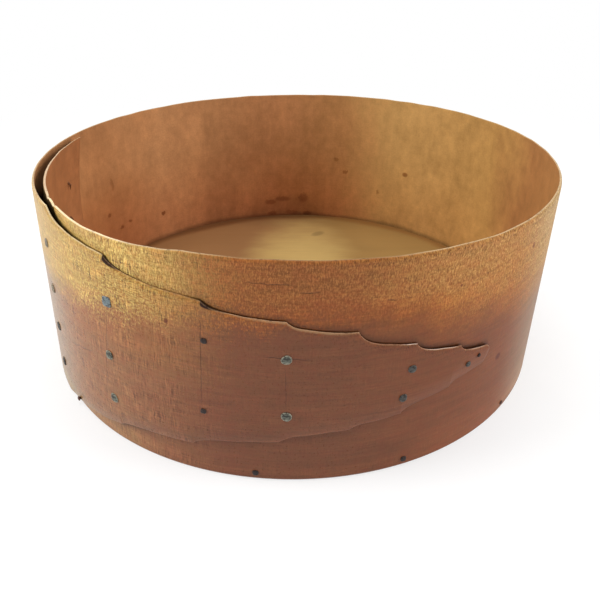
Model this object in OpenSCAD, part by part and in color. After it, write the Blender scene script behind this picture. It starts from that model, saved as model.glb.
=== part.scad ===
// Round bentwood box without a lid. One thin board is bent into a hoop and laps over
// itself in a long scalloped finger, tacked through both layers. A flat board is set in
// the bottom and held by brads driven through the hoop.
// Angles are in degrees from the front (-Y) towards +X. Along the bent board they run on:
// from the inner end, once round the box, and over the lap to the tip of the finger.

/* [Hoop] */
// Inside diameter of the hoop
inside_d = 247.2; // [180:0.2:320]
// Height of the hoop
hoop_h = 94.9; // [75:0.1:140]
// Thickness of the bent board
band_t = 1.2; // [0.8:0.1:2.4]
// Gap between the two layers of the lap
lap_gap = 0.2; // [0.15:0.05:0.6]
// Angle of the board's inner end
inner_end = -100; // [-120:0.5:-88]
// Thickness of the board at its feathered inner end
end_t = 0.5; // [0.3:0.05:0.8]
// Angle over which the inner end is feathered
feather_angle = 28; // [15:1:40]
// How far the top of the hoop leans to the right
hoop_lean = 2.3; // [0:0.1:4]

/* [Sprung rim] */
// How far the inner end has sprung inwards at the rim
rim_lean = 5; // [0:0.5:8]
// Height above which the inner end stands away from the outer layer
lean_z = 55; // [40:1:65]
// Angle at which the two layers meet again at the rim
lean_stop = -37; // [-60:1:-20]

/* [Finger] */
// Angle at which the finger starts to narrow
finger_start = -56; // [-75:0.5:-45]
// Angle of the finger's tip
tip_angle = 37.7; // [20:0.1:60]
// Height of the middle of the tip
tip_z = 41.7; // [30:0.1:55]
// Width of the tip
tip_w = 9.3; // [6:0.1:16]
// Thickness of the board at the tip
tip_t = 0.8; // [0.5:0.1:1.2]
// How far the tip has lifted off the layer below
tip_lift = 0.4; // [0:0.1:1.2]
// Bow of each scallop: 1 is straight, less is a deeper hook
scallop_bow = 0.4; // [0.25:0.05:1]

/* [Bottom board] */
// Thickness of the bottom board
board_t = 4.4; // [3.6:0.1:10]
// Gap between the bottom board and the hoop
board_fit = 0.3; // [0.15:0.05:0.8]

/* [Tacks and brads] */
// Diameter of a lap tack's head
tack_head_d = 4.2; // [3:0.1:6]
// Thickness of a lap tack's head
tack_head_t = 0.6; // [0.4:0.1:1.2]
// Diameter of the smaller heads near the finger's tip
tip_head_d = 3.4; // [2.6:0.1:5]
// Diameter of a lap tack's shank
tack_d = 1.5; // [1:0.1:2]
// Diameter of a lap brad's head
brad_head_d = 2.4; // [2:0.1:3.2]
// Diameter of a lap brad's shank
brad_d = 1.2; // [0.8:0.1:1.6]
// Length of the clinched point inside the box
clinch_l = 2.6; // [1.5:0.1:4]
// Diameter of a bottom brad's head
bottom_head_d = 2.6; // [2:0.1:4]
// Diameter of a bottom brad's shank
bottom_brad_d = 1.4; // [1:0.1:1.8]
// How far a bottom brad reaches into the bottom board
bottom_brad_l = 11; // [6:0.5:16]
// Number of bottom brads
bottom_brads = 12; // [4:1:12]
// Angle of the bottom brad under the wide end of the finger
bottom_brad_left = -50; // [-56:0.5:-48]
// Angle of the bottom brad nearest the front
bottom_brad_front = -6.6; // [-10:0.1:-4]
// Angle from there to the next bottom brad, and so on round the box
bottom_brad_step = 27.2; // [25:0.1:28]
// Radial clearance of a shank in its hole
drive_fit = 0.02; // [0.01:0.01:0.1]
// Clearance under a head
seat_fit = 0.02; // [0.01:0.01:0.1]

/* [Hidden] */
full_turn = 360;
inside_r = inside_d / 2;
lap_step = band_t + lap_gap;
strip_end = tip_angle + full_turn;
finger_from = finger_start + full_turn;
finger_angle = tip_angle - finger_start;
// The single layer eases out by one step between the finger's tip and the inner end
ease_margin = 2;
ease_from = tip_angle + ease_margin;
ease_to = inner_end + full_turn - ease_margin;
// The tip lifts over the last stretch of the finger
lift_angle = 24;
lean_power = 1.6;

// Notches of the finger's two edges, from the wide end to the tip.
// Each is [share of the finger's length, share of the way from hoop edge to tip].
upper_notches = [
    [0.036, 0], [0.238, 0.155], [0.437, 0.335], [0.582, 0.459],
    [0.704, 0.569], [0.815, 0.749], [0.914, 0.886], [0.985, 1]
];
lower_notches = [
    [0.043, 0], [0.231, 0.216], [0.406, 0.356], [0.572, 0.521],
    [0.7, 0.645], [0.798, 0.73], [0.902, 0.883], [0.985, 1]
];
tip_from = 0.985;
tip_to = 0.999;

// Fasteners through the lap, in columns from the inner end to the tip.
// Each column is [name, places, [head, shank]], each place
// [share of the lap's length, share of the lap's height there].
TACK = [tack_head_d, tack_d];
TIP_TACK = [tip_head_d, tack_d];
BRAD = [brad_head_d, brad_d];
lap_columns = [
    ["end_tack", [[0.047, 0.13], [0.047, 0.35], [0.047, 0.56], [0.047, 0.772]], TACK],
    ["side_tack", [[0.31, 0.145], [0.316, 0.358], [0.32, 0.569], [0.327, 0.809]], TACK],
    ["shoulder_tack", [[0.471, 0.178], [0.472, 0.443], [0.48, 0.754]], TACK],
    ["middle_brad", [[0.614, 0.241], [0.619, 0.761]], BRAD],
    ["front_tack", [[0.717, 0.224], [0.716, 0.719]], TACK],
    ["finger_tack", [[0.862, 0.262], [0.87, 0.639]], TIP_TACK],
    ["tip_tack", [[0.958, 0.463]], TIP_TACK],
    ["tip_brad", [[0.976, 0.677]], BRAD]
];
// Share of a head's diameter that is left flat by wear
head_crown = 0.72;
// Turned-down point of a clinched tack: thickness as a share of the shank, gap to the wall, end
leg_share = 0.75;
clinch_gap = 0.1;
clinch_tip_d = 0.4;
hole_reach = 4;
// Height of the bottom brads as a share of the bottom board's thickness
brad_rise = 0.65;

// Mesh of the bent board
plain_angle = 3.5;
scallop_steps = 5;
tip_steps = 4;
least_angle = 0.12;
row_shares = [0, 0.5, 0.65, 0.78, 0.9, 1];

function bottom_name(i) = str("bottom_brad_", i + 1);
function lap_name(column, i) = str(column[0], "_", i + 1);
$fn = 48;

function clamp(u) = max(0, min(1, u));
function smooth(u) = let (c = clamp(u)) c * c * (3 - 2 * c);
function polar(r, a) = [r * sin(a), -r * cos(a)];
function sorted(v) = len(v) <= 1 ? v : let (p = v[floor(len(v) / 2)]) concat(
    sorted([for (x = v) if (x < p) x]),
    [for (x = v) if (x == p) x],
    sorted([for (x = v) if (x > p) x])
);
function spaced(v, least) = [for (i = [0 : len(v) - 1]) if (i == 0 || v[i] - v[i - 1] > least) v[i]];

// Share of the way from hoop edge to tip, at a share s of the finger's length.
// The first scallop has a bow of its own.
function scallops(notches, s, first_bow) = let (
    i = max([for (k = [0 : len(notches) - 2]) if (k == 0 || s >= notches[k][0]) k]),
    p = notches[i],
    q = notches[i + 1],
    w = clamp((s - p[0]) / (q[0] - p[0]))
) p[1] + (q[1] - p[1]) * pow(w, i == 0 ? first_bow : scallop_bow);
function finger_share(a) = (a - finger_from) / finger_angle;
// Half width of the rounded tip
function tip_half(s) = tip_w / 2 * sqrt(1 - pow(clamp((s - tip_from) / (1 - tip_from)), 2));
// Upper and lower edge of the board at an angle along it
function top_edge(a) = let (s = finger_share(a))
    s <= 0 ? hoop_h
    : s < tip_from ? hoop_h - (hoop_h - tip_z - tip_w / 2) * scallops(upper_notches, s, scallop_bow)
    : tip_z + tip_half(s);
function low_edge(a) = let (s = finger_share(a))
    s <= 0 ? 0
    : s < tip_from ? (tip_z - tip_w / 2) * scallops(lower_notches, s, 1)
    : tip_z - tip_half(s);

// Thickness and radii of the bent board at an angle along it and a height
function thickness(a) =
    a < inner_end + feather_angle ? end_t + (band_t - end_t) * smooth((a - inner_end) / feather_angle)
    : band_t + (tip_t - band_t) * clamp(finger_share(a));
function lean(a, z) = rim_lean
    * sin(90 * clamp((lean_stop - a) / (lean_stop - inner_end)))
    * pow(clamp((z - lean_z) / (hoop_h - lean_z)), lean_power);
function lift(a) = tip_lift * smooth((a - strip_end + lift_angle) / lift_angle);
function face_in(a, z) =
    a <= tip_angle ? inside_r + band_t - thickness(a) - lean(a, z)
    : inside_r + lap_step * smooth((a - ease_from) / (ease_to - ease_from)) + lift(a);
function face_out(a, z) = face_in(a, z) + thickness(a);

// True where the finger covers any of a head's reach about an angle from the front and a height
function lapped(a, z, reach) =
    a <= tip_angle && z + reach > low_edge(a + full_turn) && z - reach < top_edge(a + full_turn);
function outer_r(place, reach) = let (a = place[0], z = place[1])
    face_out(lapped(a, z, reach) ? a + full_turn : a, z);
function inner_r(place) = face_in(place[0], place[1]);
// Angle brought into the single turn that starts at the inner end
function one_turn(a) =
    a < inner_end ? a + full_turn
    : a >= inner_end + full_turn ? a - full_turn
    : a;

// A point of the leaning hoop, and how far the wall tips there
function lean_x(z) = hoop_lean * (z - board_t / 2) / hoop_h;
function wall_point(r, a, z) = concat(polar(r, a) + [lean_x(z), 0], [z]);
function wall_tip(a) = atan(hoop_lean / hoop_h * sin(a));

// Places of the fasteners: [angle, height]. The first bottom brad stands alone under the
// wide end of the finger, and the others are stepped off round the box from the front.
function lap_place(column, i) = let (
    a = inner_end + (tip_angle - inner_end) * column[1][i][0],
    low = low_edge(a + full_turn)
) [a, low + (top_edge(a + full_turn) - low) * column[1][i][1]];
function bottom_place(i) = let (
    a = i == 0 ? bottom_brad_left : bottom_brad_front + (i - 1) * bottom_brad_step
) [one_turn(a), board_t * brad_rise];

// Angles at which the board's outline is worked out
function scallop_angles(notches) = [
    for (i = [0 : len(notches) - 2]) for (k = [0 : scallop_steps])
        finger_from + finger_angle
            * (notches[i][0] + (notches[i + 1][0] - notches[i][0]) * pow(k / scallop_steps, 2.2))
];
stations = spaced(sorted(concat(
    [for (a = [inner_end : plain_angle : finger_from]) a],
    scallop_angles(upper_notches),
    scallop_angles(lower_notches),
    [for (k = [1 : tip_steps]) let (s = sin(90 * k / tip_steps))
        finger_from + finger_angle * (tip_from + (tip_to - tip_from) * s)]
)), least_angle);

// Places a child that is built along +X on the outer face of the wall, square to it
module at_wall(place, r) {
    translate(wall_point(r, place[0], place[1])) rotate([0, wall_tip(place[0]), place[0] - 90]) children();
}

module along_x(x) {
    translate([x, 0, 0]) rotate([0, 90, 0]) children();
}

// Round hole through the wall
module shank_hole(place, head_d, d) {
    r = outer_r(place, head_d / 2);
    x_in = inner_r(place) - r - hole_reach;
    at_wall(place, r) along_x(x_in) cylinder(h = hole_reach - x_in, d = d + 2 * drive_fit);
}

// The bent board, swept along its angles as one closed skin
module bent_board() {
    rows = len(row_shares);
    ring = 2 * rows;
    last = len(stations) - 1;
    points = [
        for (a = stations) let (low = low_edge(a), high = top_edge(a))
            each concat(
                [for (s = row_shares) let (z = low + (high - low) * s) wall_point(face_out(a, z), a, z)],
                [for (k = [rows - 1 : -1 : 0]) let (z = low + (high - low) * row_shares[k])
                    wall_point(face_in(a, z), a, z)]
            )
    ];
    sides = [
        for (i = [0 : last - 1]) for (k = [0 : ring - 1])
            let (p = i * ring + k, q = i * ring + (k + 1) % ring)
                each [[p, p + ring, q], [q, p + ring, q + ring]]
    ];
    function end_face(base) = [
        for (k = [0 : rows - 2])
            let (p = base + k, q = base + k + 1, r = base + ring - 2 - k, s = base + ring - 1 - k)
                each [[p, q, s], [q, r, s]]
    ];
    function flipped(faces) = [for (f = faces) [f[2], f[1], f[0]]];
    polyhedron(points, concat(sides, end_face(0), flipped(end_face(last * ring))));
}

module side_band() {
    color("peru") difference() {
        bent_board();
        for (c = lap_columns) for (i = [0 : len(c[1]) - 1]) shank_hole(lap_place(c, i), c[2][0], c[2][1]);
        for (i = [0 : bottom_brads - 1]) shank_hole(bottom_place(i), bottom_head_d, bottom_brad_d);
    }
}

// The bottom board is cut to the inside of the hoop
module bottom_board() {
    turn = [for (a = stations) if (a <= inner_end + full_turn - plain_angle / 2) a];
    color("burlywood") difference() {
        linear_extrude(board_t) polygon([for (a = turn) polar(face_in(a, 0) - board_fit, a)]);
        for (i = [0 : bottom_brads - 1]) {
            place = bottom_place(i);
            r = outer_r(place, bottom_head_d / 2);
            at_wall(place, r) along_x(inner_r(place) - r - bottom_brad_l)
                cylinder(h = bottom_brad_l + hole_reach, d = bottom_brad_d + 2 * drive_fit);
        }
    }
}

// Round head with a worn edge and a tapered shank, turned in one piece.
// It lies along +X with the underside of the head at x = 0.
module turned_tack(head_d, shank_d, shank_l, taper_l, end_d) {
    rotate([0, 90, 0]) rotate([0, 0, 90]) rotate_extrude() polygon([
        [0, -shank_l],
        [end_d / 2, -shank_l],
        [shank_d / 2, taper_l - shank_l],
        [shank_d / 2, 0],
        [head_d / 2, 0],
        [head_d / 2, tack_head_t / 2],
        [head_d * head_crown / 2, tack_head_t],
        [0, tack_head_t]
    ]);
}

// A lap tack goes through both layers and is clinched: its point is turned down the inside
module lap_tack(column, i) {
    place = lap_place(column, i);
    head_d = column[2][0];
    shank_d = column[2][1];
    r = outer_r(place, head_d / 2);
    leg_d = shank_d * leg_share;
    leg_x = inner_r(place) - r - leg_d / 2 - clinch_gap;
    shank_l = seat_fit - leg_x + shank_d * 0.7;
    color("slategray") at_wall(place, r) {
        translate([seat_fit, 0, 0]) turned_tack(head_d, shank_d, shank_l, shank_d * 0.2, shank_d * 0.7);
        translate([leg_x, 0, 0]) rotate([180, 0, 0])
            cylinder(h = shank_d / 2 + clinch_l, d1 = leg_d, d2 = clinch_tip_d);
    }
}

// A bottom brad goes through the hoop into the edge of the bottom board
module bottom_brad(i) {
    place = bottom_place(i);
    r = outer_r(place, bottom_head_d / 2);
    brad_l = r - inner_r(place) + bottom_brad_l;
    color("dimgray") at_wall(place, r) translate([seat_fit, 0, 0])
        turned_tack(bottom_head_d, bottom_brad_d, brad_l, 2 * bottom_brad_d, clinch_tip_d);
}

side_band();
bottom_board();
for (c = lap_columns) for (i = [0 : len(c[1]) - 1])
    lap_tack(c, i);
for (i = [0 : bottom_brads - 1])
    bottom_brad(i);
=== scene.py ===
import math

import bpy
import numpy as np
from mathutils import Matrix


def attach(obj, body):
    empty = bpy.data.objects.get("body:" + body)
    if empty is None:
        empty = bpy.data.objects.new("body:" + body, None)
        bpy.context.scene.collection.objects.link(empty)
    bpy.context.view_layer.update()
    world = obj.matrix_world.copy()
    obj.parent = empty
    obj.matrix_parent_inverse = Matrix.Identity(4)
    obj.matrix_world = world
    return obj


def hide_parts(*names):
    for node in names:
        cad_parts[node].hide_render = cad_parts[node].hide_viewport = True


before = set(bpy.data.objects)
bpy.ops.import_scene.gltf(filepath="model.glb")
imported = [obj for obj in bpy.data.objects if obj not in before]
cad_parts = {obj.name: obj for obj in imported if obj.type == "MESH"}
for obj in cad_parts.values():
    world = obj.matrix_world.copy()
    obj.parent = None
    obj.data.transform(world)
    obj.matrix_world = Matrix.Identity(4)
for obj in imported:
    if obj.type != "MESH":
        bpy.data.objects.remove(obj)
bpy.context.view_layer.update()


# The hoop: one thin board of straight-grained hardwood, steamed and bent from a feathered inner end
# once round the box and on over itself, in a long finger with scalloped edges. Sizes are in mm; turns
# are degrees from the front towards the right, counted on along the board.
mm = 0.001
once_round = 360.0
inside_radius = 123.6
hoop_height = 94.9
board_thick = 1.2
lap_gap = 0.2
inner_end = -100.0
end_thick = 0.25
feather = 28.0
sprung_in, sprung_to, sprung_above, sprung_bow = 5.0, -37.0, 55.0, 1.6
hoop_lean = 2.3
finger_start = -56.0 + once_round
tip_turn = 37.7
finger_span = tip_turn + once_round - finger_start
tip_height = 41.7
tip_width = 9.3
tip_thick = 0.8
tip_lift, lift_run = 0.4, 24.0
tip_round = 0.985
scallop_bow, corner_share, corner_wear = 0.4, 0.06, 0.6
upper_notches = [
    (0.036, 0.0), (0.238, 0.155), (0.437, 0.335), (0.582, 0.459),
    (0.704, 0.569), (0.815, 0.749), (0.914, 0.886), (0.985, 1.0),
]
lower_notches = [
    (0.043, 0.0), (0.231, 0.216), (0.406, 0.356), (0.572, 0.521),
    (0.7, 0.645), (0.798, 0.73), (0.902, 0.883), (0.985, 1.0),
]
bottom_thick = 4.4
mm_per_degree = 2.18


def eased(share):
    share = np.clip(share, 0.0, 1.0)
    return share * share * (3.0 - 2.0 * share)


def hand_wobble(turn, seed, every, size):
    """A smooth wander, in mm, of a line cut or worn by hand."""
    mark_count, before_end = 900, 120.0
    marks = np.random.default_rng(seed).uniform(-size, size, mark_count)
    at = (np.asarray(turn, float) + before_end) / every
    first = np.floor(at).astype(int) % (mark_count - 2)
    return marks[first] + (marks[first + 1] - marks[first]) * eased(at - np.floor(at))


def finger_share(turn):
    return (np.asarray(turn, float) - finger_start) / finger_span


def scallops(notches, share, first_bow, worn):
    """Share of the way from the hoop's edge to the tip. Each scallop hooks in at its notch, then runs
    flat. Worn is how far the corners of the notches have rubbed round, the first twice as far."""
    reach = np.zeros_like(share)
    for k, ((from_share, from_reach), (to_share, to_reach)) in enumerate(zip(notches, notches[1:])):
        part = np.clip((share - from_share) / (to_share - from_share), 0.0, 1.0)
        corner_worn = worn if k else min(1.0, 2.0 * worn)
        bow = part ** (scallop_bow if k else first_bow)
        bow = bow * (1.0 - corner_worn * np.exp(-part / corner_share))
        cut = from_reach + (to_reach - from_reach) * bow
        reach = np.where(share >= from_share, cut, reach)
    return reach


def tip_half(share):
    past = np.clip((share - tip_round) / (1.0 - tip_round), 0.0, 1.0)
    return tip_width / 2 * np.sqrt(1.0 - past ** 2)


def upper_edge(turn, worn=corner_wear):
    share = finger_share(turn)
    reach = scallops(upper_notches, share, scallop_bow, worn)
    cut = hoop_height - (hoop_height - tip_height - tip_width / 2) * reach
    cut = np.where(share < tip_round, cut, tip_height + tip_half(share))
    return np.where(share <= 0, hoop_height, cut)


def lower_edge(turn, worn=corner_wear):
    share = finger_share(turn)
    cut = (tip_height - tip_width / 2) * scallops(lower_notches, share, 1.0, worn)
    cut = np.where(share < tip_round, cut, tip_height - tip_half(share))
    return np.where(share <= 0, 0.0, cut)


def thickness(turn):
    turn = np.asarray(turn, float)
    feathered = end_thick + (board_thick - end_thick) * eased((turn - inner_end) / feather)
    return feathered + (tip_thick - board_thick) * np.clip(finger_share(turn), 0.0, 1.0)


def lifted_tip(turn):
    """How far the finger's end has sprung off the layer under it."""
    return tip_lift * eased((turn - tip_turn - (once_round - lift_run)) / lift_run)


def inner_face(turn, height):
    """Radius of the board's inside face: the sprung inner end, the single layer easing out, the lap."""
    turn = np.asarray(turn, float)
    sprung = (
        sprung_in * np.sin(np.radians(90.0 * np.clip((sprung_to - turn) / (sprung_to - inner_end), 0.0, 1.0)))
        * np.clip((height - sprung_above) / (hoop_height - sprung_above), 0.0, 1.0) ** sprung_bow
    )
    clear = 2.0
    ease_from, ease_to = tip_turn + clear, inner_end + once_round - clear
    eased_out = (board_thick + lap_gap) * eased((turn - ease_from) / (ease_to - ease_from))
    under = inside_radius + board_thick - thickness(turn) - sprung
    return np.where(turn <= tip_turn, under, inside_radius + eased_out + lifted_tip(turn))


def around(turn, radius, height):
    """Points, in metres, at turns, radii and heights of the hoop, which leans a little to the right."""
    turn = np.radians(turn)
    lean = hoop_lean * (height - bottom_thick / 2) / hoop_height
    point = [radius * np.sin(turn) + lean, -radius * np.cos(turn), height + 0.0 * radius]
    return np.stack(point, -1) * mm


class Tone:
    """One output of a material's nodes. Sums on it add the nodes that work them out."""

    def __init__(self, tree, socket=None):
        self.tree = tree
        self.socket = socket

    def node(self, kind, settings=None, sockets=None, output=0):
        """Adds a node: its settings first, then the values or links of its sockets."""
        made = self.tree.nodes.new("ShaderNode" + kind)
        for name, value in (settings or {}).items():
            if name == "stops":
                ramp = made.color_ramp.elements
                for at, _ in value[1:-1]:
                    ramp.new(at)
                ramp[0].position, ramp[-1].position = value[0][0], value[-1][0]
                for stop, (_, colour) in zip(ramp, value):
                    stop.color = (*colour, 1.0)
            else:
                setattr(made, name, value)
        for name, value in (sockets or {}).items():
            socket = made.inputs[name]
            if isinstance(value, Tone):
                self.tree.links.new(value.socket, socket)
            elif socket.type == "RGBA":
                socket.default_value = (*value, 1.0)
            else:
                socket.default_value = value
        return Tone(self.tree, made.outputs[output])

    def worked(self, operation, *terms):
        vectors = any(
            isinstance(t, tuple) or isinstance(t, Tone) and t.socket.type != "VALUE" for t in terms)
        if vectors:
            terms = [t if isinstance(t, (Tone, tuple)) else (t, t, t) for t in terms]
        kind = "VectorMath" if vectors else "Math"
        return self.node(kind, {"operation": operation}, dict(enumerate(terms)))

    def __add__(self, other):
        return self.worked("ADD", self, other)

    def __radd__(self, other):
        return self.worked("ADD", other, self)

    def __sub__(self, other):
        return self.worked("SUBTRACT", self, other)

    def __rsub__(self, other):
        return self.worked("SUBTRACT", other, self)

    def __mul__(self, other):
        return self.worked("MULTIPLY", self, other)

    def __rmul__(self, other):
        return self.worked("MULTIPLY", other, self)

    def __truediv__(self, other):
        return self.worked("DIVIDE", self, other)

    def __rtruediv__(self, other):
        return self.worked("DIVIDE", other, self)

    def __abs__(self):
        return self.worked("ABSOLUTE", self)

    def most(self, other):
        return self.worked("MAXIMUM", self, other)

    def parts(self):
        return [self.node("SeparateXYZ", None, {0: self}, output=axis) for axis in range(3)]

    def rise(self, low, high):
        """0 at low and 1 at high, easing in and out between them."""
        return self.node("MapRange", {"interpolation_type": "SMOOTHSTEP"},
                         {"Value": self, "From Min": low, "From Max": high})

    def blend(self, under, over, share):
        return self.node("Mix", {"data_type": "RGBA"}, {0: share, 6: under, 7: over}, output=2)

    def grain(self, along, up, seed, detail=2.0, rough=0.5):
        """Noise over a place in mm, with blotches about so long along the board and so tall up it."""
        spread = self * (1.0 / along, 1.0 / up, 0.0) + (17.3 * seed, 5.1 * seed, 0.0)
        return self.node("TexNoise", {"noise_dimensions": "2D"},
                         {"Vector": spread, "Scale": 1.0, "Detail": detail, "Roughness": rough})

    def strayed(self, every, reach):
        """The same place moved about by up to reach mm, so that lines drawn over it bend."""
        spread = self * (1.0 / every, 1.0 / every, 0.0)
        stray = self.node("TexNoise", {"noise_dimensions": "2D"},
                          {"Vector": spread, "Scale": 1.0, "Detail": 1.0}, output="Color")
        return self + (stray - 0.5) * (2.0 * reach, 2.0 * reach, 0.0)

    def named(self, attribute):
        return self.node("Attribute", {"attribute_name": attribute}, output="Vector")


def new_finish(name):
    """A material with its shader, and a tone to build its nodes from."""
    finish = bpy.data.materials.new(name)
    finish.use_nodes = True
    return finish, Tone(finish.node_tree), finish.node_tree.nodes["Principled BSDF"]


def give(shader, tone, **values):
    """Sets a shader's sockets: a tone is linked, a plain value is written on the socket."""
    for name, value in values.items():
        socket = shader.inputs[name.replace("_", " ")]
        if isinstance(value, Tone):
            tone.tree.links.new(value.socket, socket)
        elif socket.type == "RGBA":
            socket.default_value = (*value, 1.0)
        else:
            socket.default_value = value


def ridged(tone, height, strength, depth):
    """A normal from small heights in the wood or iron; depth is in metres."""
    return tone.node("Bump", None, {"Height": height, "Strength": strength, "Distance": depth},
                     output="Normal")


def scratch(along, up, at, to, width, wander):
    """A thin line from one place to another, each (turn, height), that fades at its ends."""
    a0, a1 = at[0] * mm_per_degree, to[0] * mm_per_degree
    if abs(a1 - a0) > abs(to[1] - at[1]):
        run, low, high = along, min(a0, a1), max(a0, a1)
        off = up - at[1] - (along - a0) * ((to[1] - at[1]) / (a1 - a0))
    else:
        run, low, high = up, min(at[1], to[1]), max(at[1], to[1])
        off = along - a0 - (up - at[1]) * ((a1 - a0) / (to[1] - at[1]))
    fade = 0.25 * (high - low)
    line = abs(off + wander).rise(width, 0.15 * width)
    return line * run.rise(low, low + fade) * run.rise(high, high - fade)


def spot(along, up, at, wide, tall):
    """A soft-edged spot at a place (turn, height)."""
    dx = (along - at[0] * mm_per_degree) * (1.0 / wide)
    dy = (up - at[1]) * (1.0 / tall)
    return (dx * dx + dy * dy).rise(1.0, 0.15)


def wobble(place, size):
    """A slow wander, in mm, for lines that aren't quite straight."""
    return (place.grain(14.0, 14.0, 10.0) - 0.5) * (2.0 * size)


def rim_pale(along):
    """How pale the rim has worn: most at the left, hardly at the front, some at the right and back."""
    left = 0.33 * along.rise(-18.0, -40.0) + 0.55 * along.rise(-56.0, -76.0)
    return 0.12 + left + 0.32 * along.rise(26.0, 52.0)


worn_wood = (0.480, 0.310, 0.160)


def outside_finish():
    finish, tone, shader = new_finish("hoop_outside")
    place = tone.named("place")
    along, up, from_top = place.parts()
    above, below, from_low = tone.named("lap").parts()
    across, _, _ = (tone.node("TexCoord", output="Object") * 1000.0).parts()

    bent = place.strayed(3.0, 0.5)
    cloud = place.grain(42.0, 30.0, 1.0, detail=3.0)
    patch = place.grain(9.0, 7.0, 2.0)
    mottle = place.grain(1.1, 1.3, 3.0, rough=0.6)
    pores = place.grain(0.6, 0.7, 4.0, detail=1.0)
    blotch = place.grain(5.0, 3.5, 18.0, detail=3.0, rough=0.6)
    worms = bent.grain(0.36, 1.1, 5.0)
    strokes = bent.grain(0.5, 2.6, 17.0)
    streaks = place.grain(40.0, 0.9, 6.0, detail=3.0, rough=0.6)
    sweeps = place.grain(30.0, 3.0, 21.0, detail=3.0, rough=0.6)
    threads = bent.grain(9.0, 0.5, 7.0, detail=1.0)
    hairs = bent.grain(0.6, 8.0, 8.0, rough=0.55)

    # Under the lid the wood stayed golden and dry; below it, light and hands turned it red-brown.
    right_side = across.rise(-5.0, 45.0)
    ragged = (cloud - 0.5) * 12.0 + (patch - 0.5) * 9.0 * (1.0 - 0.5 * right_side)
    ragged = ragged + (mottle - 0.5) * 12.0 * (1.0 - 0.7 * right_side)
    speckled = across.rise(-98.0, -72.0) * across.rise(2.0, -30.0)
    ragged = ragged + ((worms - 0.5) * 24.0 + (mottle - 0.5) * 12.0) * speckled
    line = 62.0 + 12.0 * abs(across).rise(104.0, 20.0) - 4.0 * across.rise(56.0, 90.0)
    covered = ((up + ragged - line) / (8.0 + 5.0 * right_side)).rise(-1.0, 1.0)
    left = (across + ragged * 1.3).rise(-14.0, -58.0)
    far_left = across.rise(-84.0, -108.0)
    right = (across + ragged).rise(6.0, 60.0)
    far_right = across.rise(84.0, 108.0)
    # Far to the left and right the paler, greyer tones are partly the wood's colour and partly painted sheen,
    # where the sides turn away.
    golden = tone.blend((0.274, 0.095, 0.0205), (0.405, 0.262, 0.071), left)
    golden = tone.blend(golden, (0.350, 0.155, 0.0365), right)
    golden = tone.blend(golden, (0.345, 0.208, 0.074), far_right)
    golden = tone.blend(golden, (0.375, 0.252, 0.088), far_left)
    handled = tone.blend((0.171, 0.060, 0.025), (0.230, 0.102, 0.039), left)
    handled = tone.blend(handled, (0.252, 0.104, 0.035), left * up.rise(40.0, 58.0))
    handled = tone.blend(handled, (0.222, 0.142, 0.077), far_left)
    handled = tone.blend(handled, (0.163, 0.0495, 0.016), right)
    handled = tone.blend(handled, (0.215, 0.124, 0.069), far_right)
    colour = tone.blend(handled, golden, covered)
    fade = covered * (1.0 - covered) * 4.0 * across.rise(-40.0, 10.0)
    fade = fade * (1.0 - 0.45 * across.rise(40.0, 70.0))
    colour = tone.blend(colour, colour * (1.14, 0.97, 0.78), fade)
    colour = tone.blend(colour, colour * (1.0, 1.07, 1.18), up.rise(76.0, 90.0) * across.rise(40.0, 70.0))

    # Grain along the board, bending hairlines across it, and dry, flecked wood where it was covered.
    front = abs(across).rise(64.0, 20.0)
    dry = (0.07 + 0.07 * left + 0.83 * covered) * (1.0 - 0.62 * across.rise(-60.0, -104.0))
    dry = dry * (1.0 - 0.24 * front - 0.06 * right)
    wrinkled = along.rise(690.0, 716.0) * left * covered
    fleck = ((worms - 0.5) * 1.6 + (strokes - 0.5) * 1.5) * (1.0 - 0.6 * wrinkled)
    fleck = (fleck + (mottle - 0.5) * 1.3 + (pores - 0.5) * 0.9).most(-0.44)
    cracked = bent.grain(2.6, 0.6, 20.0, rough=0.6).rise(0.52, 0.62) * wrinkled * (1.0 - far_left)
    uneven = 0.2 + 1.6 * patch.rise(0.3, 0.7)
    shade = 1.0 + (streaks - 0.5) * 0.32 + (threads - 0.5) * (0.24 + 0.26 * left) * uneven
    shade = shade + (blotch - 0.5) * 0.48
    shade = shade + (sweeps - 0.5) * 0.34 + (mottle - 0.5) * 0.16 * (1.0 - covered)
    shade = shade + (hairs - 0.5) * (0.22 + 0.93 * left - 0.10 * covered) * uneven + fleck * dry
    pits = worms.rise(0.44, 0.34) * from_top.rise(5.0, 0.6) * (across.rise(-10.0, 36.0) * 0.36 + 0.06)
    shade = shade * (1.0 - pits) * (1.0 - 0.42 * cracked)
    shade = shade * (0.90 + 0.20 * cloud) * (0.94 + 0.12 * patch) * (1.0 + 0.14 * up.rise(9.0, 3.0))
    shade = shade * (1.0 + 0.20 * across.rise(36.0, 62.0) * (up + (cloud - 0.5) * 16.0).rise(24.0, 5.0))
    colour = tone.blend(colour, colour * (1.02, 1.14, 1.05), up.rise(10.0, 5.0) * across.rise(-48.0, -70.0))
    purple = up.rise(50.0, 36.0) * across.rise(-70.0, -55.0) * across.rise(-12.0, -28.0)
    colour = tone.blend(colour, colour * (0.95, 0.88, 0.94), purple)
    colour = tone.blend(colour, colour * (0.92, 0.84, 0.86), blotch.rise(0.42, 0.62))
    colour = tone.blend(colour, colour * (1.0, 1.14, 1.36), fleck.rise(0.0, 0.6) * dry)
    dark_fleck = fleck.rise(0.0, -0.5) * dry * (0.5 + 0.5 * left + 0.5 * right)
    colour = tone.blend(colour, colour * (1.20, 0.91, 0.62), dark_fleck.most(cracked))
    colour = tone.blend(colour, colour * (1.0, 0.90, 0.86), hairs.rise(0.5, 0.36) * left * (1.0 - covered))

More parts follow.
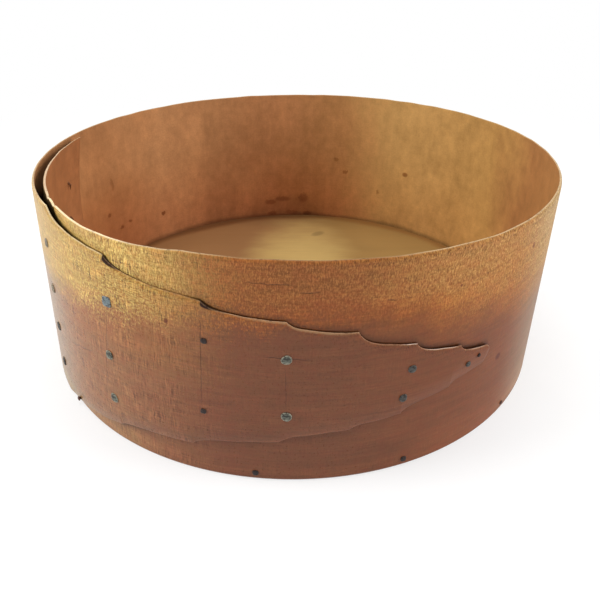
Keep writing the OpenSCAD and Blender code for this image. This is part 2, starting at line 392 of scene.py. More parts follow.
    # Cracks along the grain, score lines at the tacks, stains and small marks.
    wander = (place.grain(3.0, 3.0, 9.0) - 0.5) * 1.2
    marks = scratch(along, up, (-8.6, 87.2), (-0.2, 86.5), 0.36, wander)
    for at, to, width in (
        ((0.2, 83.5), (3.9, 84.1), 0.32),
        ((14.1, 78.9), (15.9, 77.9), 0.34),
        ((354.5, 58.8), (363.2, 57.4), 0.32),
        ((326.0, 66.6), (322.6, 20.9), 0.18),
        ((344.9, 77.0), (344.2, 31.0), 0.20),
        ((358.4, 56.3), (358.7, 33.5), 0.12),
        ((309.9, 34.3), (320.4, 40.0), 0.26),
    ):
        scored = to[1] < at[1] - 9.0
        steady = 0.4 if scored else 1.0
        marks = marks.most(scratch(along, up, at, to, width, wander * steady))
    spots = spot(along, up, (338.7, 68.1), 1.1, 1.5)
    for at, wide, tall in (
        ((42.0, 34.7), 2.3, 2.0), ((48.2, 81.0), 1.5, 1.7), ((27.9, 78.3), 0.7, 0.7),
        ((314.4, 40.5), 0.8, 0.8),
    ):
        spots = spots.most(spot(along, up, at, wide, tall))
    shade = shade * (1.0 - marks * 0.56)
    colour = tone.blend(colour, colour * (0.52, 0.33, 0.33), spots)

    # Painted shadow along the lap, with some dirt. The two widest notches are painted near black, as shade
    # where the cut stands open.
    close = 1.0 - 0.6 * along.rise(-75.0, -71.0) * along.rise(-33.0, -38.0)
    over = above.rise(-0.8, 0.0)
    warm = over * along.rise(-14.0, 4.0) * along.rise(78.0, 52.0) * up.rise(80.0, 70.0)
    colour = tone.blend(colour, colour * (1.06, 1.03, 0.84), warm)
    hard_shadow = (0.45 - 0.2 * along.rise(-30.0, -6.0)) * above.rise(0.5, 0.1)
    soft_shadow = (0.05 + 0.19 * along.rise(-45.0, -34.0)) * above.rise(3.2, 0.3)
    shade = shade * (1.0 - over * close * (hard_shadow + soft_shadow))
    # Painted shade below the finger's lower edge, deepest at its first step.
    soft_under = 0.20 * (1.0 - 0.85 * along.rise(34.0, 54.0)) * (1.0 - 0.8 * along.rise(-77.0, -86.0))
    first_step = 0.30 * along.rise(-77.0, -75.0) * along.rise(-52.0, -68.0)
    under = below.rise(-0.8, 0.0) * (soft_under * below.rise(5.0, 0.2) + first_step * below.rise(1.8, 0.2))
    shade = shade * (1.0 - under)
    # Along the finger's lower edge a thin lighter line is partly wear and partly painted highlight; near the
    # tip it is painted darker instead, as painted shade, and the face within a few mm of the edge is a little
    # darker.
    at_tip = along.rise(812.0, 834.0)
    shade = shade * (1.0 + from_low.rise(1.5, 0.4) * (0.14 * along.rise(700.0, 716.0) - 0.26 * at_tip))
    shade = shade * (1.0 - 0.09 * from_low.rise(10.0, 3.0) * along.rise(790.0, 765.0))
    first_notch, second_notch, mouth = 711.3, 752.0, 0.4
    # Near-black painted shade in the two widest notches, where the cut stands open.
    open_cut_shade = (from_top + (along - first_notch) * 0.25).rise(2.1, 1.6) * along.rise(721.0, 717.0)
    open_cut_shade = open_cut_shade * along.rise(first_notch - mouth, first_notch)
    second = (from_top + (along - second_notch) * 0.28).rise(1.7, 1.3) * along.rise(759.0, 756.0)
    open_cut_shade = open_cut_shade.most(second * along.rise(second_notch - mouth, second_notch))
    # Painted shade on the layer under the lap where the outer layer covers it, seen in the gap at the rim.
    shade = shade * (1.0 - 0.85 * above.rise(0.1, -0.8) * below.rise(0.1, -0.8))
    # Painted shadow above the edge where the tip has sprung off the layer under it.
    lifted = along.rise(45.5, 48.0) * along.rise(64.0, 58.0) + along.rise(65.5, 68.0) * along.rise(79.0, 76.0)
    shade = shade * (1.0 - 0.4 * lifted * over * (above + (mottle - 0.5) * 1.6).rise(1.8, 0.5))
    shade = shade * (1.0 - 0.16 * along.rise(20.0, 38.0) * over * above.rise(3.4, 0.3))
    shade = shade * (1.0 + 0.16 * along.rise(-80.0, -66.0) * along.rise(-34.0, -48.0) * above.rise(1.0, 5.0))
    colour = tone.blend(colour * shade, (0.026, 0.008, 0.003), open_cut_shade)
    worn = (from_top + (mottle - 0.5) * 0.9).rise(0.45, 0.1) * rim_pale(along)
    rubbed = (from_top + (mottle - 0.5) * 0.8).rise(0.85, 0.2) * 0.7
    rubbed = rubbed * along.rise(762.0, 774.0) * along.rise(808.0, 798.0)
    colour = tone.blend(colour, worn_wood, worn.most(rubbed) * 0.6)

    rough = 0.30 + 0.10 * covered + 0.18 * across.rise(20.0, 80.0) + (mottle - 0.5) * 0.15
    height = fleck * dry + streaks * 0.3 + hairs * 0.2 - marks * 0.8 - pits * 0.8
    give(shader, tone, Base_Color=colour, Roughness=rough, IOR=1.3,
         Normal=ridged(tone, height, 0.3, 0.0003))
    return finish


def inside_finish():
    finish, tone, shader = new_finish("hoop_inside")
    place = tone.named("place")
    along, up, from_top = place.parts()
    cloud = place.grain(30.0, 40.0, 11.0, detail=3.0)
    patch = place.grain(9.0, 14.0, 12.0, detail=3.0)
    streaks = place.grain(50.0, 1.1, 13.0, detail=3.0, rough=0.6)
    hairs = place.grain(0.9, 60.0, 14.0, detail=2.0, rough=0.5)
    pores = place.grain(1.1, 1.0, 15.0, detail=2.0, rough=0.6)
    blotch = place.grain(5.0, 6.0, 16.0, detail=4.0, rough=0.6)
    bands = place.grain(13.0, 150.0, 19.0, detail=3.0, rough=0.6)

    # The right of the back stayed golden; the rest is redder, and it darkens towards both ends.
    soft = (cloud - 0.5) * 40.0 + (patch - 0.5) * 16.0
    before_front, whole_run = 220.0, 780.0
    colour = tone.node("ValToRGB", {"stops": (
        (0.00, (0.372, 0.169, 0.069)), (0.15, (0.360, 0.165, 0.065)), (0.41, (0.330, 0.160, 0.055)),
        (0.545, (0.285, 0.128, 0.045)), (0.60, (0.355, 0.195, 0.060)), (0.70, (0.466, 0.270, 0.093)),
        (0.745, (0.430, 0.208, 0.076)), (0.81, (0.455, 0.208, 0.087)), (0.91, (0.460, 0.226, 0.098)),
        (0.975, (0.372, 0.169, 0.069)),
    )}, {"Fac": (along + soft + before_front) / whole_run})
    # The board changes tone at a seam across it.
    seam = (along + wobble(place, 1.5)).rise(458.0, 463.0)
    shade = 1.0 + (streaks - 0.5) * 0.08 + (hairs - 0.5) * 0.08
    shade = shade + (pores - 0.5) * 0.26 + (bands - 0.5) * 0.20
    shade = shade * (0.86 + 0.28 * cloud) * (0.82 + 0.36 * patch) * (0.80 + 0.40 * blotch)
    shade = shade * (1.0 - 0.12 * along.rise(425.0, 456.0) * (1.0 - seam))
    foot = (up + (cloud - 0.5) * 30.0).rise(64.0, 14.0)
    shade = shade * (1.0 + 0.24 * foot)
    redder = foot * (0.4 + 0.6 * (along + soft).rise(345.0, 380.0))
    colour = tone.blend(colour, colour * (0.87, 0.76, 0.75), redder)
    # Darker low on the back wall at the centre.
    shade = shade * (1.0 - 0.18 * spot(along + soft * 0.3, up, (184.0, 8.0), 34.0, 15.0))
    # Small brown marks, and dark blotches low on the back wall, above the bottom board.
    marks = spot(along, up, (143.2, 45.0), 2.6, 2.1)
    blot_along, blot_up = along + (blotch - 0.5) * 5.0, up + (pores - 0.5) * 2.5
    for at, wide, tall, dark in (
        ((247.7, 37.2), 2.0, 1.8, 0.8), ((239.6, 26.3), 1.8, 1.5, 0.8), ((243.1, 25.0), 1.8, 1.8, 0.8),
        ((226.7, 22.2), 2.1, 1.9, 1.0), ((245.4, 55.3), 1.9, 5.0, 0.5), ((167.0, 48.9), 1.7, 1.8, 0.5),
        ((163.8, 40.0), 1.7, 1.8, 0.7), ((152.4, 28.2), 1.8, 2.0, 0.6), ((188.7, 15.2), 5.4, 2.6, 0.7),
        ((184.6, 17.4), 7.0, 2.4, 0.6), ((177.7, 18.2), 3.8, 4.6, 0.6), ((188.5, 6.0), 5.0, 2.0, 0.6),
        ((181.5, 6.4), 5.6, 2.2, 0.5), ((176.2, 5.8), 4.2, 2.0, 0.6),
    ):
        marks = marks.most(spot(blot_along, blot_up, at, wide, tall) * dark)
    colour = tone.blend(colour, colour * (0.50, 0.38, 0.33), marks)
    # The feathered end is redder than the wall beside it, with a faint line where it stops.
    ending = along.rise(-100.0, -150.0)
    colour = tone.blend(colour, colour * (0.90, 0.81, 0.80), ending)
    shade = shade * (1.0 - 0.06 * along.rise(-216.2, -217.6))
    shade = shade * (1.0 + 0.10 * along.rise(568.0, 566.0) * along.rise(556.0, 562.0))
    low_left = up.rise(68.0, 44.0) * along.rise(490.0, 530.0)
    colour = tone.blend(colour, colour * (0.88, 0.80, 0.75), low_left)
    # Painted shade darkens the foot of the wall, in the corner where it meets the bottom board.
    shade = shade * (1.0 - 0.40 * (up + (cloud - 0.5) * 4.0).rise(7.5, 4.2))
    # Where the layers stand apart, the gap between them is painted dark, as painted shade.
    depth = (up - 94.0 + (643.0 - along) * 0.427).rise(3.0, -4.0)
    shade = shade * (1.0 - 0.88 * depth * along.rise(575.0, 595.0))
    colour = colour * shade
    worn = (from_top + (pores - 0.5) * 0.8).rise(0.5, 0.1)
    colour = tone.blend(colour, worn_wood, worn * 0.5)
    height = streaks * 0.5 + pores * 0.3 - marks
    give(shader, tone, Base_Color=colour, Roughness=0.46 + (pores - 0.5) * 0.15, IOR=1.3,
         Normal=ridged(tone, height, 0.2, 0.0003))
    return finish


def edge_finish():
    finish, tone, shader = new_finish("hoop_edge")
    place = tone.named("place")
    along, _, from_top = place.parts()
    dents = place.grain(2.4, 1.0, 21.0, detail=3.0, rough=0.6)
    fibre = place.grain(0.5, 0.4, 22.0)
    pale = tone.blend((0.760, 0.600, 0.360), (0.530, 0.370, 0.235), along.rise(-118.0, -140.0))
    rim = tone.blend((0.220, 0.100, 0.034), pale, rim_pale(along))
    # The lap's edge is pale up to its first notch, painted near black just past it as shade in the open cut,
    # closed and dark on to the second, then pinkish.
    lap = tone.blend((0.620, 0.480, 0.270), (0.040, 0.020, 0.012), along.rise(709.5, 711.5))
    lap = tone.blend(lap, (0.260, 0.135, 0.050), along.rise(718.0, 728.0) * along.rise(752.0, 750.5))
    lap = tone.blend(lap, (0.440, 0.260, 0.145), along.rise(755.0, 763.0))
    lap = tone.blend(lap, (0.300, 0.140, 0.082), along.rise(806.0, 810.0))
    bright = along.rise(822.0, 826.0) * along.rise(829.5, 828.5)
    bright = bright + along.rise(831.0, 836.0) * along.rise(849.0, 844.0)
    bright = bright + 0.5 * along.rise(853.0, 857.0) * along.rise(864.0, 861.0)
    lap = tone.blend(lap, (0.640, 0.470, 0.370), bright)
    colour = tone.blend(rim, lap, along.rise(660.0, 668.0))
    # The lower edge is painted darker near the tip, as painted shade.
    low_edge = tone.blend((0.190, 0.080, 0.038), (0.125, 0.048, 0.024), along.rise(812.0, 834.0))
    colour = tone.blend(colour, low_edge, from_top.rise(3.0, 7.0))
    colour = colour * (0.70 + 0.50 * fibre) * (1.0 - 0.45 * dents.rise(0.56, 0.70))
    give(shader, tone, Base_Color=colour, Roughness=0.62, IOR=1.3,
         Normal=ridged(tone, dents + fibre * 0.4, 0.35, 0.0004))
    return finish


# The board's stations: close together at the notches, evenly spaced elsewhere.
scallop_steps, crowding, tip_steps, last_share = 16, 2.2, 12, 0.9995
station_step, least_step = 0.75, 0.03
scallop_turns = [
    finger_start + finger_span * (p[0] + (q[0] - p[0]) * (k / scallop_steps) ** crowding)
    for notches in (upper_notches, lower_notches) for p, q in zip(notches, notches[1:])
    for k in range(scallop_steps + 1)
]
tip_turns = finger_start + finger_span * (
    tip_round + (last_share - tip_round) * np.sin(np.linspace(0.1, np.pi / 2, tip_steps)))
stations = np.unique(np.round(np.concatenate([
    np.arange(inner_end, tip_turn + once_round - 1.0, station_step), scallop_turns, tip_turns]), 2))
stations = stations[np.concatenate([[True], np.diff(stations) > least_step])]

lows, highs = lower_edge(stations), upper_edge(stations)
on_rim = highs > hoop_height - 0.01
# The rim has worn and swollen unevenly: low at the right, with a raised step left of the front.
rim_wear = np.interp(
    stations, (-62.0, -34.0, -27.0, -22.0, -18.5, -12.0, 0.0, 7.0, 13.0, 27.0, 34.0, 46.0, 58.0),
    (-0.2, -0.4, -0.2, 0.2, 1.1, 0.9, 0.7, 0.4, 0.0, -0.3, -0.8, -0.8, 0.0))
rim_wear = rim_wear + hand_wobble(stations, 3, 4.0, 0.16)
highs = highs + np.where(on_rim, rim_wear, hand_wobble(stations, 4, 2.0, 0.15))
lows = lows + np.where(lows < 0.01, 0.0, hand_wobble(stations, 5, 2.0, 0.15))
for nick_turn, nick_deep, nick_wide in ((-57.6, 1.2, 0.8), (-52.8, 1.0, 0.7)):
    highs = highs - nick_deep * np.exp(-((stations - nick_turn) / nick_wide) ** 2)

# Rows of points up the board, closer together at its edges, which are pared thin on the finger.
thick = thickness(stations)
edge_round, narrow, middle_rows = 0.30, 16.0, 20
soft = np.minimum(edge_round, edge_round * thick)
squeeze = np.minimum(1.0, (highs - lows) / narrow)
near_low, near_high = (0.0, 0.35, 0.8, 1.4, 2.2, 3.2, 4.5), (4.0, 2.6, 1.6, 1.0, 0.55, 0.25, 0.0)
rows = [lows + soft + d * squeeze for d in near_low]
first_high = highs - soft - near_high[0] * squeeze
rows += [rows[-1] + (first_high - rows[-1]) * k / middle_rows for k in range(1, middle_rows)]
rows += [highs - soft - d * squeeze for d in near_high]
face_rows = len(rows)
# Once round the board's section: the outside, the upper edge, the inside, the lower edge.
rounded = ((0.29, 0.29), (1.0, 0.0))
ring = [(1.0, 0.0, heights) for heights in rows]
ring += [(1.0, -inset, highs - drop * soft) for inset, drop in rounded]
ring += [(0.0, inset, highs - drop * soft) for inset, drop in rounded[::-1]]
ring += [(0.0, 0.0, heights) for heights in rows[::-1]]
ring += [(0.0, inset, lows + lift * soft) for inset, lift in rounded]
ring += [(1.0, -inset, lows + lift * soft) for inset, lift in rounded[::-1]]

# The rim is worn round, and the finger's upper edge is thinnest between its first two notches, where
# it lies shut on the layer under it. Its lower edge is pared long and pressed down all along.
points, places, laps = [], [], []
rim_run, pared_run, shut_run, low_clear, shut_clear, far_off = 1.6, 9.0, 4.0, 0.06, 0.04, 99.0
on_finger = eased((stations - finger_start) / 4.0)
edge_thick = np.interp(
    stations, (-84.0, -74.0, -30.0, -14.0, 306.0, 325.0, 328.0, 341.0, 346.0, 397.0),
    (0.65, 1.00, 1.00, 0.65, 0.65, 0.75, 0.30, 0.30, 0.60, 0.60))
low_thick = np.interp(stations, (374.0, 386.0), (0.25, 0.10))
shut = np.interp(stations, (326.0, 329.0, 341.0, 345.0), (0.0, 1.0, 1.0, 0.0))
for side, inset, heights in ring:
    from_top, from_low = np.maximum(highs - heights, 0.0), np.maximum(heights - lows, 0.0)
    near_low_edge = on_finger * np.clip(1.0 - from_low / pared_run, 0.0, 1.0) ** 2
    pared = np.maximum(
        (thick - edge_thick) * np.clip(1.0 - from_top / rim_run, 0.0, 1.0) ** 2,
        near_low_edge * (thick - low_thick))
    pressed = np.maximum(
        near_low_edge * (lap_gap + lifted_tip(stations) - low_clear),
        shut * (lap_gap - shut_clear) * np.clip(1.0 - from_top / shut_run, 0.0, 1.0) ** 2)
    left_thick = thick - np.maximum(pared, 0.0)
    rounding = inset * np.minimum(soft, 0.4 * left_thick)
    radii = inner_face(stations, heights) - pressed + side * left_thick + rounding
    points.append(around(stations, radii, heights))
    places.append(np.stack([stations * mm_per_degree, heights, from_top], -1))
    under_lap = stations <= tip_turn + 1.0
    over = np.where(under_lap, heights - upper_edge(stations + once_round), far_off)
    under = np.where(under_lap, lower_edge(stations + once_round) - heights, far_off)
    laps.append(np.stack([over, under, np.where(on_finger > 0.5, from_low, far_off)], -1))
points, places, laps = (np.stack(columns, 1) for columns in (points, places, laps))

count, loop = points.shape[:2]
corner = np.arange(count * loop).reshape(count, loop)
ahead = np.roll(corner, -1, axis=1)
walls = np.stack([corner[:-1], corner[1:], ahead[1:], ahead[:-1]], -1).reshape(-1, 4)
outside_strips, edge_strips, inside_strips = 0, 2, 1
strip_finish = np.full(loop, inside_strips)
strip_finish[:face_rows] = outside_strips
strip_finish[face_rows:face_rows + 3] = edge_strips
strip_finish[2 * face_rows + 4:2 * face_rows + 7] = edge_strips
strip_finish[2 * face_rows + 7] = outside_strips
outer_side = [loop - 2, loop - 1] + list(range(face_rows + 2))
inner_side = [loop - 3, loop - 4] + list(range(2 * face_rows + 3, face_rows + 1, -1))
caps = []
for station, flip in ((0, True), (count - 1, False)):
    for k in range(len(outer_side) - 1):
        face = [corner[station, outer_side[k]], corner[station, outer_side[k + 1]],
                corner[station, inner_side[k + 1]], corner[station, inner_side[k]]]
        caps.append(face[::-1] if flip else face)

hoop_mesh = bpy.data.meshes.new("bent_hoop")
hoop_mesh.from_pydata(points.reshape(-1, 3).tolist(), [], walls.tolist() + caps)
for name, values in (("place", places), ("lap", laps)):
    hoop_mesh.attributes.new(name, "FLOAT_VECTOR", "POINT").data.foreach_set(
        "vector", values.reshape(-1).astype(np.float32))
for finish in (outside_finish(), inside_finish(), edge_finish()):
    hoop_mesh.materials.append(finish)
finishes = np.concatenate([np.tile(strip_finish, count - 1), np.full(len(caps), edge_strips)])
hoop_mesh.polygons.foreach_set("material_index", finishes.astype(np.int32))
hoop_mesh.polygons.foreach_set("use_smooth", np.ones(len(hoop_mesh.polygons), bool))
hoop_mesh.set_sharp_from_angle(angle=math.radians(60))
hoop = bpy.data.objects.new("bent_hoop", hoop_mesh)
bpy.context.scene.collection.objects.link(hoop)
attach(hoop, "root")
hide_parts("side_band")


# The bottom: a flat board of pale softwood, planed, cut round to the inside of the hoop and
# set in flush with its lower edge. Its edges are slightly broken, and its grain runs across.
bottom_gap, broken, rim_step = 0.3, 0.5, 1.5
broken_share = 1.0 - broken / 123
rim_turns = np.arange(inner_end, inner_end + once_round - rim_step, rim_step)
rim_radii = inner_face(rim_turns, 0.0) - bottom_gap


def bottom_finish():
    finish, tone, shader = new_finish("bottom_pine")
    spot_at = tone.node("TexCoord", output="Object") * 1000.0
    across, deep, high = spot_at.parts()
    rings = spot_at.grain(150.0, 7.0, 31.0, detail=3.0, rough=0.55)
    fibre = spot_at.grain(40.0, 0.7, 32.0, detail=3.0, rough=0.6)
    cloud = spot_at.grain(60.0, 50.0, 33.0, detail=3.0)
    # The middle is painted paler than the sides, and most of the front half with it: a painted pool of light.
    patches = spot_at.grain(22.0, 9.0, 34.0, detail=3.0)
    out_x, out_y = (across - 2.0) * (1 / 40.0), (deep - 10.0) * (1 / 118.0)
    rubbed = out_x * out_x + out_y * out_y + (cloud - 0.5) * 0.6 + (patches - 0.5) * 0.5
    front_half = (deep + (cloud - 0.5) * 70.0 + (patches - 0.5) * 40.0).rise(30.0, -60.0)
    rubbed = rubbed.rise(1.3, 0.0).most(front_half * 0.75)
    right = (across + cloud * 20.0).rise(0.0, 40.0)
    colour = tone.blend((0.285, 0.143, 0.056), (0.324, 0.192, 0.062), right)
    colour = tone.blend(colour, (0.560, 0.387, 0.138), rubbed)
    shade = (0.90 + 0.20 * fibre) * (0.88 + 0.24 * cloud) * (0.93 + 0.14 * rings)
    # Painted shade along the wall, where the bottom board meets it, darker at the left.
    out = tone.worked("SQRT", across * across + deep * deep)
    wall_shade = (out + (cloud - 0.5) * 8.0).rise(114.0, 122.0)
    shade = shade * (1.0 - 0.5 * wall_shade * (1.0 - 0.5 * across.rise(8.0, 40.0)))
    colour = tone.blend(colour, colour * (1.05, 0.86, 0.74), wall_shade)
    # One dark knot lies near the back.
    knot_x, knot_y = (across - 15.5) * (1 / 5.6), (deep - 90.5 - (across - 15.5) * 0.4) * (1 / 4.4)
    knot = (knot_x * knot_x + knot_y * knot_y + (fibre - 0.5) * 1.2).rise(1.0, 0.1) * high.rise(3.0, 5.0)
    shade = shade * (1.0 - 0.42 * knot)
    give(shader, tone, Base_Color=colour * shade, Roughness=0.58 + (fibre - 0.5) * 0.2,
         Normal=ridged(tone, fibre * 0.6 + rings * 0.4, 0.3, 0.0003))
    return finish


bottom_rings = [
    (0.35, 0.0), (0.7, 0.0), (0.96, 0.0), (broken_share, 0.0), (1.0, broken),
    (1.0, bottom_thick - broken), (broken_share, bottom_thick), (0.96, bottom_thick),
    (0.7, bottom_thick), (0.35, bottom_thick),
]
edge_count = len(rim_turns)
bottom_points = np.concatenate([
    around(rim_turns, rim_radii * share, np.full(edge_count, height)) for share, height in bottom_rings])
bottom_faces = []
for k in range(len(bottom_rings) - 1):
    here, next_ring = k * edge_count, (k + 1) * edge_count
    for i in range(edge_count):
        j = (i + 1) % edge_count
        bottom_faces.append((here + i, here + j, next_ring + j, next_ring + i))
under, over = len(bottom_points), len(bottom_points) + 1
last = (len(bottom_rings) - 1) * edge_count
for i in range(edge_count):
    j = (i + 1) % edge_count
    bottom_faces.append((under, j, i))
    bottom_faces.append((over, last + i, last + j))
bottom_points = bottom_points.tolist() + [(0, 0, 0), (0, 0, bottom_thick * mm)]
bottom_mesh = bpy.data.meshes.new("pine_bottom")
bottom_mesh.from_pydata(bottom_points, [], bottom_faces)
bottom_mesh.polygons.foreach_set("use_smooth", np.ones(len(bottom_mesh.polygons), bool))
bottom_mesh.set_sharp_from_angle(angle=math.radians(30))
bottom_mesh.materials.append(bottom_finish())
bottom = bpy.data.objects.new("pine_bottom", bottom_mesh)
bpy.context.scene.collection.objects.link(bottom)
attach(bottom, "root")
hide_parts("bottom_board")


# The tacks of the lap: small cut tacks of iron, hammered through both layers against an iron,
# so that each point turned over and lies flat down the inside. Heads are uneven and worn.
def iron_finish(name, face, rim, dark, struck=0.0):
    finish, tone, shader = new_finish(name)
    spot_at = tone.node("TexCoord", output="Object") * 1000.0
    flat = spot_at * (0.5, 0.5, 1.4)
    pits = tone.node("TexNoise", None, {"Vector": flat, "Scale": 1.6, "Detail": 3.0, "Roughness": 0.6})
    fine = tone.node("TexNoise", None, {"Vector": spot_at, "Scale": 4.0, "Detail": 2.0})
    brim, hidden, lift = tone.named("brim").parts()
    colour = tone.blend(face, rim, (brim + (pits - 0.5) * 0.4).rise(0.74, 0.98) * 0.8)
    colour = tone.blend(colour, rim, (lift + (pits - 0.5) * 0.8).rise(-0.2, -0.8) * 0.5)
    colour = tone.blend(colour, dark, pits.rise(0.46, 0.58) * 0.9)
    dent = abs(lift - 0.32 + (pits - 0.5) * 0.5).rise(0.24, 0.06) * brim.rise(0.85, 0.6)
    colour = tone.blend(colour, dark, dent * struck)
    # The shank and the clinched point have rusted.
    colour = tone.blend(colour, (0.120, 0.044, 0.018), hidden)
    give(shader, tone, Base_Color=colour * (0.85 + 0.3 * fine), Metallic=0.30 * (1.0 - hidden),
         Roughness=0.48 + 0.25 * fine, Normal=ridged(tone, pits + fine * 0.4, 0.5, 0.0003))
    return finish


worn_iron = iron_finish("tack_worn", (0.125, 0.132, 0.104), (0.400, 0.370, 0.280), (0.026, 0.023, 0.018),
                        struck=0.9)
blue_iron = iron_finish("tack_blued", (0.150, 0.190, 0.200), (0.260, 0.290, 0.290), (0.055, 0.062, 0.066))
dull_iron = iron_finish("tack_dull", (0.230, 0.195, 0.140), (0.300, 0.250, 0.180), (0.110, 0.085, 0.058))
dark_iron = iron_finish("tack_dark", (0.066, 0.062, 0.055), (0.120, 0.110, 0.095), (0.016, 0.013, 0.011))
rusty_iron = iron_finish("brad_rusty", (0.030, 0.018, 0.016), (0.060, 0.038, 0.030), (0.010, 0.006, 0.005))
brown_iron = iron_finish("brad_brown", (0.110, 0.046, 0.032), (0.150, 0.075, 0.055), (0.040, 0.018, 0.013))


head_thick = 0.6
head_profile = (
    (0.0, 1.0), (0.3, 0.99), (0.56, 0.93), (0.76, 0.82), (0.90, 0.62), (0.99, 0.34), (1.0, 0.12), (0.94, 0.0),
)


def fastener(node, turn, height, head_wide, shank_wide, seat, inside, finish, square, tilt,
             straight=0.0):
    """One tack or brad, head outside; its point is clinched inside, or runs straight on into the bottom."""
    rng = np.random.default_rng(sum(ord(c) * (k + 1) for k, c in enumerate(node)))
    path, radii, brims = [], [], []
    for share, lift in head_profile:
        path.append((seat + head_thick * lift, 0.0))
        radii.append(share * head_wide / 2)
        brims.append(share)
    head_rings = len(path)
    shank = shank_wide / 2
    if straight:
        point, taper = inside - straight, inside - straight + 3.0
        for radius, wide in ((seat - 0.01, shank), (inside, shank), (taper, shank), (point, 0.15)):
            path.append((radius, 0.0))
            radii.append(wide)
    else:
        path += [(seat - 0.01, 0.0), (inside + 0.3, 0.0)]
        radii += [shank, shank]
        bend = 0.75 * shank_wide
        bend_steps, point_steps = 6, 5
        for step in range(1, bend_steps + 1):
            a = math.radians(90 * step / bend_steps)
            path.append((inside - bend * math.sin(a) * 0.9, -bend * (1 - math.cos(a))))
            radii.append(shank * (1.0 - 0.05 * step))
        foot = path[-1]
        for step in range(1, point_steps + 1):
            path.append((foot[0] + 0.04 * step, foot[1] - 0.52 * step))
            radii.append(shank * (0.7 - 0.12 * step))
    brims += [0.3] * (len(path) - len(brims))
    sides = 24
    angle = np.linspace(0, 2 * np.pi, sides, endpoint=False)
    uneven = 1.0 + 0.035 * np.sin(2 * angle + rng.uniform(0, 6))
    uneven = uneven + 0.025 * np.sin(3 * angle + rng.uniform(0, 6))
    uneven = uneven - square * np.cos(4 * angle + rng.uniform(-0.5, 0.5))
    lean = np.radians(tilt) * np.cos(angle - rng.uniform(0, 6))
    at = np.array(path)
    going = np.gradient(at, axis=0)
    going[:head_rings + 1] = (-1.0, 0.0)
    going /= np.maximum(np.linalg.norm(going, axis=1, keepdims=True), 1e-9)
    steep = hoop_lean / hoop_height
    out = np.array([math.sin(math.radians(turn)), -math.cos(math.radians(turn)), 0.0])
    side = np.array([math.cos(math.radians(turn)), math.sin(math.radians(turn)), 0.0])
    rise = np.array([steep, 0.0, 1.0])
    out = out - np.array([0.0, 0.0, steep * out[0]])
    rows = []
    for k, ((radius, drop), wide) in enumerate(zip(path, radii)):
        normal = out * -going[k, 1] + rise * going[k, 0] * -1.0
        shape = wide * (uneven if k < head_rings else 1.0)
        ring_at = out * (radius - seat) + around(turn, seat, height) / mm + rise * drop
        row = ring_at + np.outer(shape * np.cos(angle), side) + np.outer(shape * np.sin(angle), normal)
        if 0 < k < head_rings:
            row = row + np.outer(wide * lean * 0.5 + rng.normal(0, 0.025, sides), out)
        rows.append(row)
    cloud = np.concatenate(rows) * mm
    faces = []
    for k in range(len(rows) - 1):
        for i in range(sides):
            j = (i + 1) % sides
            faces.append((k * sides + i, k * sides + j, (k + 1) * sides + j, (k + 1) * sides + i))
    faces.append([(len(rows) - 1) * sides + i for i in range(sides)])
    mesh = bpy.data.meshes.new(node + "_forged")
    mesh.from_pydata(cloud.tolist(), [], faces)
    brim = np.repeat(np.array(brims, np.float32), sides)
    hidden = np.repeat(np.arange(len(rows)) > head_rings, sides).astype(np.float32)
    lift = brim * np.tile(np.sin(angle), len(rows)).astype(np.float32)
    vectors = np.stack([brim, hidden, lift], -1)
    mesh.attributes.new("brim", "FLOAT_VECTOR", "POINT").data.foreach_set("vector", vectors.reshape(-1))
    mesh.validate()
    mesh.polygons.foreach_set("use_smooth", np.ones(len(mesh.polygons), bool))
    mesh.materials.append(finish)
    piece = bpy.data.objects.new(node + "_forged", mesh)
    bpy.context.scene.collection.objects.link(piece)
    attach(piece, "root")
    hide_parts(node)


tack_head, tip_head, tack_shank, brad_head, brad_shank = 4.2, 3.4, 1.5, 2.4, 1.2
lap_columns = [
    ("end_tack", ((0.047, 0.13), (0.047, 0.35), (0.047, 0.56), (0.047, 0.772)), tack_head, blue_iron, 0.03),
    ("side_tack", ((0.31, 0.145), (0.316, 0.358), (0.32, 0.569), (0.327, 0.809)), tack_head, dark_iron, 0.04),
    ("shoulder_tack", ((0.471, 0.178), (0.472, 0.443), (0.48, 0.754)), tack_head, worn_iron, 0.03),
    ("middle_brad", ((0.614, 0.241), (0.619, 0.761)), brad_head, rusty_iron, 0.08),
    ("front_tack", ((0.717, 0.224), (0.716, 0.719)), tack_head, worn_iron, 0.0),
    ("finger_tack", ((0.862, 0.262), (0.87, 0.639)), tip_head, dark_iron, 0.02),
    ("tip_tack", ((0.958, 0.463),), tip_head, rusty_iron, 0.05),
    ("tip_brad", ((0.976, 0.677),), brad_head, rusty_iron, 0.05),
]
odd_ones = {
    "side_tack_3": (tack_head, dull_iron, 0.04),
    "side_tack_4": (tack_head, dull_iron, 0.04),
    "shoulder_tack_3": (4.9, blue_iron, 0.10),
    "front_tack_2": (3.9, worn_iron, 0.0),
    "tip_tack_1": (2.4, dark_iron, 0.05),
    "tip_brad_1": (1.6, rusty_iron, 0.05),
}
for column, shares, head_wide, finish, square in lap_columns:
    for k, (lap_share, height_share) in enumerate(shares):
        name = f"{column}_{k + 1}"
        turn = inner_end + (tip_turn - inner_end) * lap_share
        over_turn = turn + once_round
        low, high = float(lower_edge(over_turn, worn=0.0)), float(upper_edge(over_turn, worn=0.0))
        height = low + (high - low) * height_share
        seat = float(inner_face(over_turn, height) + thickness(over_turn))
        inside = float(inner_face(turn, height))
        shank_wide, slot = (brad_shank, "brad") if head_wide == brad_head else (tack_shank, "tack")
        own_head, own_finish, own_square = odd_ones.get(name, (head_wide, finish, square))
        fastener(name, turn, height, own_head, shank_wide, seat, inside, own_finish,
                 square=own_square, tilt=4.0)


